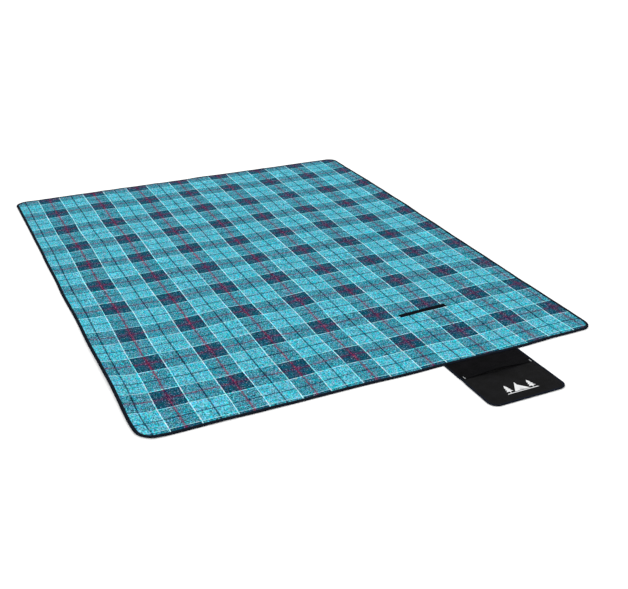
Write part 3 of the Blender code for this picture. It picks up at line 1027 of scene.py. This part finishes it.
@dataclass
class Binding:
    """The tape folded over the blanket's edge."""

    lie: Lie
    panels: Sequence[Panel]
    cover: float = 13.8 * MM  # how far the tape reaches in over the blanket
    top: float = 5.3 * MM
    thickness: float = 0.75 * MM
    step: float = 12 * MM  # the widest spacing of its mesh

    def section(self) -> list[tuple[float, float]]:
        """Draws the tape's outside, from its upper edge round to its lower edge.

        Returns:
            Distance in from the blanket's edge and level, for each point.
        """
        radius = self.top / 2
        upper = [(self.cover - 0.4 * MM, self.top - 0.55 * MM), (self.cover - 2 * MM, self.top - 0.1 * MM),
                 (self.cover / 2, self.top)]
        round_edge = [(radius - radius * math.sin(a), radius + radius * math.cos(a))
                      for a in (math.radians(d) for d in range(0, 181, 20))]
        return upper + round_edge + [(self.cover / 2, 0.0), (self.cover, 0.0)]

    def paths(self, panel: Panel) -> list[list[tuple[float, float, float, float]]]:
        """Lays out the tape of one panel.

        Args:
            panel: the panel.

        Returns:
            Its paths, which are two for an inner panel and one round the side of an outer one: the blanket's
            edge and the direction inwards, for each point.
        """
        lie, r = self.lie, self.lie.corner
        near, far = lie.near, lie.far
        outer_left, outer_right = panel.x0 <= lie.left + r, panel.x1 >= lie.right - r
        xs = spread(panel.x0 + r * outer_left, panel.x1 - r * outer_right, self.step,
                    [(panel.fold, 2 * BEND_HALF, BEND_STEP)])
        near_run = [(x, near, 0.0, 1.0) for x in xs]
        far_run = [(x, far, 0.0, -1.0) for x in reversed(xs)]
        if not (outer_left or outer_right):
            return [near_run, far_run]
        side, inward = (lie.left, 1.0) if outer_left else (lie.right, -1.0)
        cx = side + inward * r
        low = [(cx - inward * r * math.sin(a), near + r - r * math.cos(a), inward * math.sin(a), math.cos(a))
               for a in (math.radians(d) for d in range(8, 90, 8))]
        high = [(x, near + far - y, nx, -ny) for x, y, nx, ny in reversed(low)]
        upright = [(side, y, inward, 0.0) for y in spread(near + r, far - r, self.step)]
        # both outer pieces run from the near edge to the far one, round their own side
        if outer_left:
            near_run.reverse()
            far_run.reverse()
        return [near_run + low + upright + high + far_run]

    def tape(self, path: Sequence[tuple[float, float, float, float]]) -> bmesh.types.BMesh:
        """Folds one length of tape over the edge.

        Args:
            path: the blanket's edge and the direction inwards, for each point.

        Returns:
            The tape as a closed mesh.
        """
        section, lengths = self.section(), lengths_along(path)

        def fold(i: int, j: int) -> Vector:
            """Works out where the tape's outside lies.

            Args:
                i: the number of a point of the path.
                j: the number of a point of the section.

            Returns:
                The point.
            """
            x, y, nx, ny = path[i]
            inward, level = section[j]
            if level > self.top / 2:  # the upper edge wanders a little
                inward += 0.35 * MM * noise.noise(Vector((lengths[i] / 0.02, 0.2, 6.0)))
            return self.lie.place(x + nx * inward, y + ny * inward, level)

        bm = cloth_grid(lengths, lengths_along(section), fold)
        thicken_tape(bm, lambda c: self.lie.height(c.x, c.y) + self.top / 2, self.thickness)
        return bm

    def build(self) -> None:
        """Builds the tape of every panel."""
        for panel in self.panels:
            paths = self.paths(panel)
            bm = self.tape(paths[0])
            for path in paths[1:]:
                more = self.tape(path)
                spare = bpy.data.meshes.new("spare")
                more.to_mesh(spare)
                more.free()
                bm.from_mesh(spare)
                bpy.data.meshes.remove(spare)
            obj = to_object(bm, f"edge_tape_{panel.name}", Finish.TAPE, sharp=60)
            panel.bend(obj)
            nodes = [f"edge_tape_{side}_{n}" for n in panel.fifths for side in ("near", "far")]
            nodes += ["edge_tape_left"] * (1 in panel.fifths) + ["edge_tape_right"] * (5 in panel.fifths)
            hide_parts(*nodes)
            sum(lengths_along(path)[-1] for path in paths)


# ---------------------------------------------------------------- the loop strip


@dataclass
class LoopStrip:
    """The strip of loop tape sewn to the fleece, which the rolled blanket's flap closes on."""

    lie: Lie
    base_level: float = 4.8 * MM  # the fleece's level under it, pressed down by the stitches
    height: float = 1.7 * MM
    thickness: float = 0.9 * MM
    width: float = 25 * MM
    length: float = 243 * MM
    turn: float = 3.2  # degrees

    def build(self) -> None:
        """Builds the strip on the blanket."""
        low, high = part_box("loop_strip")
        middle = (low + high) / 2
        c, s = math.cos(math.radians(self.turn)), math.sin(math.radians(self.turn))
        half_l, half_w = self.length / 2, self.width / 2
        bm = cloth_grid(spread(-half_l, half_l, 5 * MM), spread(-half_w, half_w, 2.5 * MM))

        def place(p: Vector) -> Vector:
            """Works out where a point of the strip lies: low at its sewn edges, with an uneven pile.

            Args:
                p: the point on the flat strip, from its middle.

            Returns:
                The point.
            """
            x, y = middle.x + p.x * c - p.y * s, middle.y + p.x * s + p.y * c
            edge = min(half_l - abs(p.x), half_w - abs(p.y))
            pile = self.height - 0.8 * MM * (1 - smoothstep(edge / (4 * MM)))
            pile += 0.25 * MM * noise.noise(Vector((p.x / 0.006, p.y / 0.006, 0.3)))
            return self.lie.place(x, y, self.base_level + pile)

        lay_out(bm, place, self.thickness)
        obj = to_object(bm, "loop_tape_strip", Finish.LOOPS)
        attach(obj, "fourth_fifth")
        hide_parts("loop_strip")


# ---------------------------------------------------------------- the flap


@dataclass
class Flap:
    """The carry flap: two cloths bound with tape, sewn into the blanket's edge, with a crease across it."""

    lie: Lie
    seam_in: float = 14 * MM  # how far the cloth reaches into the blanket's edge
    corner: float = 40 * MM
    cover: float = 9 * MM  # how far the tape reaches in over the cloth
    tape_top: float = 3.6 * MM
    tape_low: float = 0.8 * MM
    thickness: float = 0.6 * MM  # of the cloths and of the tape
    bend_half: float = 8 * MM
    join: float = 30 * MM  # where root and tab cloths meet, from the crease towards the blanket
    step: float = 9 * MM  # the widest spacing of its meshes
    emblem_from_tip: float = 80 * MM
    left: float = field(init=False)
    right: float = field(init=False)
    root: float = field(init=False)
    crease: float = field(init=False)
    tip: float = field(init=False)
    bends: list[tuple[float, float, float]] = field(init=False)  # middle, half width, mesh spacing

    def __post_init__(self) -> None:
        """Takes the flap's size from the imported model."""
        self.left, self.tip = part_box("flap_tab_tape_left")[0].x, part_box("flap_tab_tape_end")[0].y
        self.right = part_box("flap_tab_tape_right")[1].x
        self.root = self.lie.near
        self.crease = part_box("flap_tab_outer")[1].y
        self.bends = [(self.crease, 0.03, BEND_STEP), (self.root, 0.02, BEND_STEP)]

    def height(self, x: float, y: float) -> float:
        """Works out how far the flap's underside is off the ground.

        It is nearly flat, with a soft ridge at the crease, a tab that lifts unevenly, and small wrinkles
        between the crease and the blanket.

        Args:
            x: a point's place across the flap.
            y: its place along it.

        Returns:
            The height in metres, which is never below 0.
        """
        out = max(0.0, self.root - y)
        ridge = 1.4 * MM * math.exp(-((y - self.crease) / 0.018) ** 2)
        uneven = 0.5 + 0.5 * noise.noise(Vector((x / 0.13, y / 0.13, 21.0)))
        tab = 2.2 * MM * smoothstep((self.crease - y) / 0.08) * uneven
        wrinkle = noise.noise(Vector((x / 0.05 + y / 0.08, y / 0.03, 4.0)))
        wrinkle *= 0.8 * MM * math.exp(-((y - self.crease - 0.05) / 0.05) ** 2)
        return max(0.0, (ridge + tab + max(0.0, wrinkle)) * smoothstep(out / 0.03))

    def outline(self, x: float, y: float, inset: float) -> tuple[float, float]:
        """Rounds the flap's two outer corners, and draws its sides in a little at the crease.

        Args:
            x: a point's place across a flap with square corners.
            y: its place along it.
            inset: how far the layer's edge is inside the flap's.

        Returns:
            The point's new place.
        """
        r = self.corner
        x, y = round_off(x, y, min(max(x, self.left + r), self.right - r), max(y, self.tip + r), r - inset)
        middle = (self.left + self.right) / 2
        waist = 1 - 0.010 * math.exp(-((y - self.crease) / 0.02) ** 2)
        return middle + (x - middle) * waist, y

    def cloth(self, y0: float, y1: float, inset: float, tip_inset: float,
              level: float) -> bmesh.types.BMesh:
        """Makes one cloth of the flap, between two lines across it.

        Args:
            y0: the outer line.
            y1: the inner line.
            inset: how far the cloth's sides are inside the flap's.
            tip_inset: how far its outer edge is inside the flap's.
            level: its upper face over the flap's underside.

        Returns:
            The cloth as a closed mesh.
        """
        xs = spread(self.left + inset, self.right - inset, self.step,
                    [(side, self.corner, 5 * MM) for side in (self.left, self.right)])
        ys = spread(y0 + tip_inset, y1, self.step, [*self.bends, (self.tip, self.corner, 5 * MM)])
        bm = cloth_grid(xs, ys)
        lay_out(bm, lambda p: self.place(*self.outline(p.x, p.y, inset), level), self.thickness)
        return bm

    def place(self, x: float, y: float, level: float) -> Vector:
        """Where a point of the flat flap lies."""
        return Vector((x, y, self.height(x, y) + level))

    def tape(self, path: Sequence[tuple[float, float, float, float]], name: str,
             nodes: Sequence[str]) -> bpy.types.Object:
        """Makes a length of the flap's binding tape.

        Args:
            path: the flap's edge and the direction inwards, for each point.
            name: the piece's name.
            nodes: the CAD nodes that it stands for.

        Returns:
            The piece.
        """
        top, low = self.tape_top, self.tape_low
        radius = (top - low) / 2
        section = [(self.cover, top - 0.5 * MM), (self.cover - 1.5 * MM, top), (radius * 2, top)]
        section += [(radius - radius * math.sin(a), low + radius + radius * math.cos(a))
                    for a in (math.radians(d) for d in range(0, 181, 30))]
        section += [(self.cover, low)]
        lengths, rolled = lengths_along(path), lengths_along(section)

        def fold(i: int, j: int) -> Vector:
            """Works out where the tape's outside lies.

            Args:
                i: the number of a point of the path.
                j: the number of a point of the section.

            Returns:
                The point.
            """
            x, y, nx, ny = path[i]
            inward, level = section[j]
            return self.place(x + nx * inward, y + ny * inward, level)

        bm = cloth_grid(lengths, rolled, fold)
        middle = self.height(path[0][0], path[0][1]) + low + radius
        thicken_tape(bm, lambda _: middle, self.thickness)
        obj = to_object(bm, name, Finish.TAPE, sharp=60)
        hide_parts(*nodes)
        return obj

    def hinge_root(self, obj: bpy.types.Object) -> None:
        """Bakes a piece's place into its mesh; the piece doesn't bend where the flap leaves the blanket."""
        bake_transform(obj)

    def hinge_crease(self, obj: bpy.types.Object) -> None:
        """Bakes a piece's place into its mesh; the piece doesn't bend at the flap's crease."""
        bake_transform(obj)

    def build(self) -> None:
        """Builds the flap's cloths, tapes, hook strip and print."""
        split = self.crease + self.join
        cloths = (
            # the root cloth's darker finish is painted shade from the blanket's edge and the handle
            ("flap_root_cloth", split, self.root + self.seam_in, 0.0, 3.1 * MM, Finish.ROOT, "flap_cloth",
             ("flap_root_outer", "flap_seam_allowance"), self.hinge_root),
            ("flap_root_backing", split, self.root + self.seam_in - 4 * MM, 0.0, 2.2 * MM, Finish.LINING,
             "flap_lining", ("flap_root_lining",), self.hinge_root),
            ("flap_tab_cloth", self.tip, split, 1.5 * MM, 3.1 * MM, Finish.FLAP, "flap_cloth",
             ("flap_tab_outer",), self.hinge_crease),
            ("flap_tab_backing", self.tip, split, 1.5 * MM, 2.2 * MM, Finish.LINING, "flap_lining",
             ("flap_tab_lining",), self.hinge_crease),
        )
        for name, y0, y1, tip_inset, level, finish, slot, nodes, hinge in cloths:
            obj = to_object(self.cloth(y0, y1, 1.5 * MM, tip_inset, level), name, finish)
            hinge(obj)
            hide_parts(*nodes)
        for side, edge, inward in (("left", self.left, 1.0), ("right", self.right, -1.0)):
            ys = spread(split, self.root + 3 * MM, 8 * MM, self.bends)
            path = [(*self.outline(edge, y, 0.0), inward, 0.0) for y in ys]
            self.hinge_root(self.tape(path, f"flap_root_tape_{side}_edge", [f"flap_root_tape_{side}"]))
        ys = spread(self.tip + self.corner, split, 8 * MM, self.bends)[::-1]
        down = [(*self.outline(self.left, y, 0.0), 1.0, 0.0) for y in ys]
        r = self.corner
        arc = [(self.left + r - r * math.cos(a), self.tip + r - r * math.sin(a), math.cos(a), math.sin(a))
               for a in (math.radians(d) for d in range(10, 90, 10))]
        end = [(x, self.tip, 0.0, 1.0) for x in spread(self.left + r, self.right - r, self.step)]
        flip = [(self.left + self.right - x, y, -nx, ny) for x, y, nx, ny in (down + arc)[::-1]]
        tape = self.tape(down + arc + end + flip, "flap_tab_tape",
                         ["flap_tab_tape_left", "flap_tab_tape_right", "flap_tab_tape_end"])
        self.hinge_crease(tape)
        self.hook_strip()
        self.emblem()

    def hook_strip(self) -> None:
        """Builds the strip of hooks on the tab's underside."""
        low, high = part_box("hook_strip")
        bm = cloth_grid(spread(low.x, high.x, 8 * MM), spread(low.y, high.y, 4 * MM))
        lay_out(bm, lambda p: self.place(p.x, p.y, 1.5 * MM), 1.3 * MM)
        obj = to_object(bm, "hook_tape_strip", Finish.HOOKS)
        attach(obj, "flap_tab")
        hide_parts("hook_strip")

    def emblem(self) -> None:
        """Prints a plain tent between two pines on the tab."""
        middle = Vector(((self.left + self.right) / 2, self.tip + self.emblem_from_tip, 0))
        # the tent with its open door, the door's flap, and the ground, in mm from the print's middle
        shapes = [
            [(-34, -24), (0, 32), (34, -24), (22, -24), (0, 13), (-22, -24)],
            [(-11, -24), (0, -3), (11, -24)],
            [(-72, -31), (72, -31), (68, -27), (-68, -27)],
        ]
        for side in (-1, 1):
            for base, half, rise in ((-16, 15, 20), (-4, 12, 18), (8, 9, 18)):
                shapes.append([(side * 52 - half, base), (side * 52 + half, base), (side * 52, base + rise)])
            trunk = (side * 52 - 2.5, side * 52 + 2.5)
            shapes.append([(trunk[0], -24), (trunk[1], -24), (trunk[1], -16), (trunk[0], -16)])
        bm = bmesh.new()
        for shape in shapes:
            bmesh.ops.contextual_create(bm, geom=[bm.verts.new((x * MM, y * MM, 0)) for x, y in shape])
        bmesh.ops.triangulate(bm, faces=bm.faces)
        for _ in range(3):
            long = [e for e in bm.edges if e.calc_length() > 8 * MM]
            if long:
                bmesh.ops.subdivide_edges(bm, edges=long, cuts=1)
                bmesh.ops.triangulate(bm, faces=bm.faces)
        bm.verts.layers.float_vector.new("cut")
        lay_out(bm, lambda p: self.place(middle.x + p.x, middle.y + p.y, 3.25 * MM), 0.25 * MM)
        obj = to_object(bm, "flap_print", Finish.INK)
        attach(obj, "flap_tab")


@dataclass
class Handle:
    """The carry handle: a webbing strap sewn down at both sides of the flap, standing in a low arch."""

    flap: Flap
    thickness: float = 1.6 * MM
    level: float = 3.9 * MM  # its underside, where it is sewn down
    rise: float = 10 * MM
    half_span: float = 142 * MM  # from the arch's top to its foot
    sewn: float = 24 * MM  # how much of each end is sewn down
    tack_length: float = 15 * MM
    left: float = field(init=False)
    right: float = field(init=False)
    near: float = field(init=False)
    far: float = field(init=False)

    def __post_init__(self) -> None:
        """Takes the strap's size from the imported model."""
        self.left, self.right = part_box("handle_end_left")[0].x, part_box("handle_end_right")[1].x
        self.near, self.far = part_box("handle_grip")[0].y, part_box("handle_grip")[1].y

    def strap(self, x0: float, x1: float) -> bmesh.types.BMesh:
        """Makes the strap between two places along it.

        Args:
            x0: the first place.
            x1: the last place.

        Returns:
            The strap as a closed mesh.
        """
        middle, width = (self.left + self.right) / 2, self.far - self.near
        bm = cloth_grid(spread(x0, x1, 4 * MM), spread(self.near, self.far, 2.5 * MM))

        def place(p: Vector) -> Vector:
            """Works out where a point of the strap lies: an arch that leans, with its edges turned down.

            Args:
                p: the point on the flat strap.

            Returns:
                The point.
            """
            off = min(1.0, abs(p.x - middle) / self.half_span)
            arch = self.rise * 0.5 * (1 + math.cos(math.pi * off))
            across = (p.y - self.near) / width - 0.5
            crown = -0.5 * MM * (2 * across) ** 4
            tilt = -1.5 * MM * across * (1 - off)
            base = self.flap.height(p.x, p.y) * off
            return Vector((p.x, p.y, self.level + self.thickness + base + arch + crown + tilt))

        lay_out(bm, place, self.thickness)
        return bm

    def build(self) -> None:
        """Builds the strap in three lengths, and the bartacks that hold it."""
        grip_low, grip_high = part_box("handle_grip")
        lengths = (("handle_end_left", self.left, grip_low.x), ("handle_grip", grip_low.x, grip_high.x),
                   ("handle_end_right", grip_high.x, self.right))
        for node, x0, x1 in lengths:
            obj = to_object(self.strap(x0, x1), node + "_webbing", Finish.WEBBING)
            if node == "handle_grip":
                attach(obj, "handle")
            else:
                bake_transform(obj)
            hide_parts(node)
        for side in ("left", "right"):
            self.bartack(side)

    def bartack(self, side: str) -> None:
        """Builds one dense row of stitches across the strap's end.

        Args:
            side: "left" or "right".
        """
        low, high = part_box(f"bartack_{side}")
        x, half = (low.x + high.x) / 2, max(1.4 * MM, (high.x - low.x) / 2)
        y0, y1 = self.near - 1 * MM, self.near + self.tack_length
        x += (self.tack_length / 4) * (1 if side == "right" else -1)
        bm = cloth_grid(spread(-half, half, half / 3), spread(y0, y1, 0.6 * MM))
        top = self.level + self.thickness

        def place(p: Vector) -> Vector:
            """Works out where a point of the stitches lies: a low rounded ridge, ribbed by its threads.

            Args:
                p: the point on the flat row of stitches.

            Returns:
                The point.
            """
            rib = 0.12 * MM * math.cos(2 * math.pi * p.y / (1.2 * MM))
            dome = 0.7 * MM * math.sqrt(max(0.0, 1 - (p.x / half) ** 2))
            return Vector((x + p.x, p.y, top + self.flap.height(x, p.y) + dome + rib))

        lay_out(bm, place, 0.5 * MM)
        obj = to_object(bm, f"bartack_{side}_stitches", Finish.BARTACK)
        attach(obj, "flap")
        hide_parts(f"bartack_{side}")


# ---------------------------------------------------------------- the studio


@dataclass
class Studio:
    """The camera, the floor and soft white light."""

    eye: tuple[float, float, float] = (-1.583, -3.6331, 1.8531)
    tilt: float = 63.383  # degrees up from looking straight down
    roll: float = -0.701
    heading: float = -25.624  # degrees, anticlockwise from the blanket's length
    lens: float = 52.2  # mm, on a sensor 36 mm wide

    def camera(self) -> None:
        """Puts the camera where it sees the whole blanket from the near left."""
        data = bpy.data.cameras.new("camera")
        data.lens, data.sensor_width = self.lens, 36.0
        data.clip_start, data.clip_end = 0.05, 200
        cam = bpy.data.objects.new("camera", data)
        cam.location = self.eye
        cam.rotation_euler = [math.radians(a) for a in (self.tilt, self.roll, self.heading)]
        bpy.context.scene.collection.objects.link(cam)
        bpy.context.scene.camera = cam

    def floor(self) -> None:
        """Lays the pale floor."""
        material, tree, shader = bare_material("matt_white_backdrop", Roughness=0.9, Specular_IOR_Level=0.1)
        place = add_node(tree, "TexCoord").outputs["Object"]
        grain = add_node(tree, "TexNoise", {"Vector": place, "Scale": 3.0})
        shade = add_node(tree, "ValToRGB", {0: grain.outputs[0]})
        set_stops(shade, [(0.0, srgb("f3f3f3")), (1.0, srgb("f6f6f6"))])
        tree.links.new(shade.outputs[0], shader.inputs["Base Color"])
        bm = bmesh.new()
        bmesh.ops.create_grid(bm, x_segments=2, y_segments=2, size=40.0)
        bmesh.ops.translate(bm, verts=bm.verts, vec=(0, 0, -0.6 * MM))
        mesh = bpy.data.meshes.new("floor")
        bm.to_mesh(mesh)
        bm.free()
        mesh.materials.append(material)
        obj = bpy.data.objects.new("floor", mesh)
        bpy.context.scene.collection.objects.link(obj)

    def lights(self) -> None:
        """Sets a wide soft light high on the left, a weaker one behind, and a white sky."""
        world = bpy.data.worlds.new("white_sky")
        world.use_nodes = True
        sky = world.node_tree.nodes["Background"]
        sky.inputs["Color"].default_value = (1.0, 1.0, 1.0, 1.0)
        sky.inputs["Strength"].default_value = 1.0
        bpy.context.scene.world = world
        for name, spot, power in (("key", (-3.5, -0.5, 2.8), 1.25), ("back", (2.5, 4.0, 3.0), 0.45)):
            data = bpy.data.lights.new(name, "SUN")
            data.angle, data.energy = math.radians(50), power
            lamp = bpy.data.objects.new(name, data)
            lamp.location = spot
            lamp.rotation_euler = (-Vector(spot)).to_track_quat("-Z", "Y").to_euler()
            bpy.context.scene.collection.objects.link(lamp)


# ---------------------------------------------------------------- all of it


def main() -> None:
    """Builds the studio and then the blanket, from its layers out to its handle."""
    bpy.context.scene.view_settings.view_transform = "Standard"
    studio = Studio()
    studio.camera()
    studio.floor()
    studio.lights()
    left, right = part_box("edge_tape_left")[0].x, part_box("edge_tape_right")[1].x
    near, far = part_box("edge_tape_near_3")[0].y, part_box("edge_tape_far_3")[1].y
    fifth = (right - left) / 5
    lie = Lie(left, right, near, far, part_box("flap_tab_tape_left")[0].x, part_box("flap_tab_tape_right")[1].x)
    bodies = ("left_fifth", "second_fifth", "middle_fifth", "fourth_fifth", "right_fifth")
    splits = [left, *(left + fifth * (k + 0.5) for k in (1, 2, 3)), right]
    fifths = ((1, 2), (3,), (4,), (5,))
    panels = [Panel(name, splits[k], splits[k + 1], left + fifth * (k + 1), bodies[k:k + 2], fifths[k])
              for k, name in enumerate(("first", "second", "third", "fourth"))]
    Layers(lie, panels).build()
    Binding(lie, panels).build()
    LoopStrip(lie).build()
    flap = Flap(lie)
    flap.build()
    Handle(flap).build()


if __name__ == "__main__":
    main()
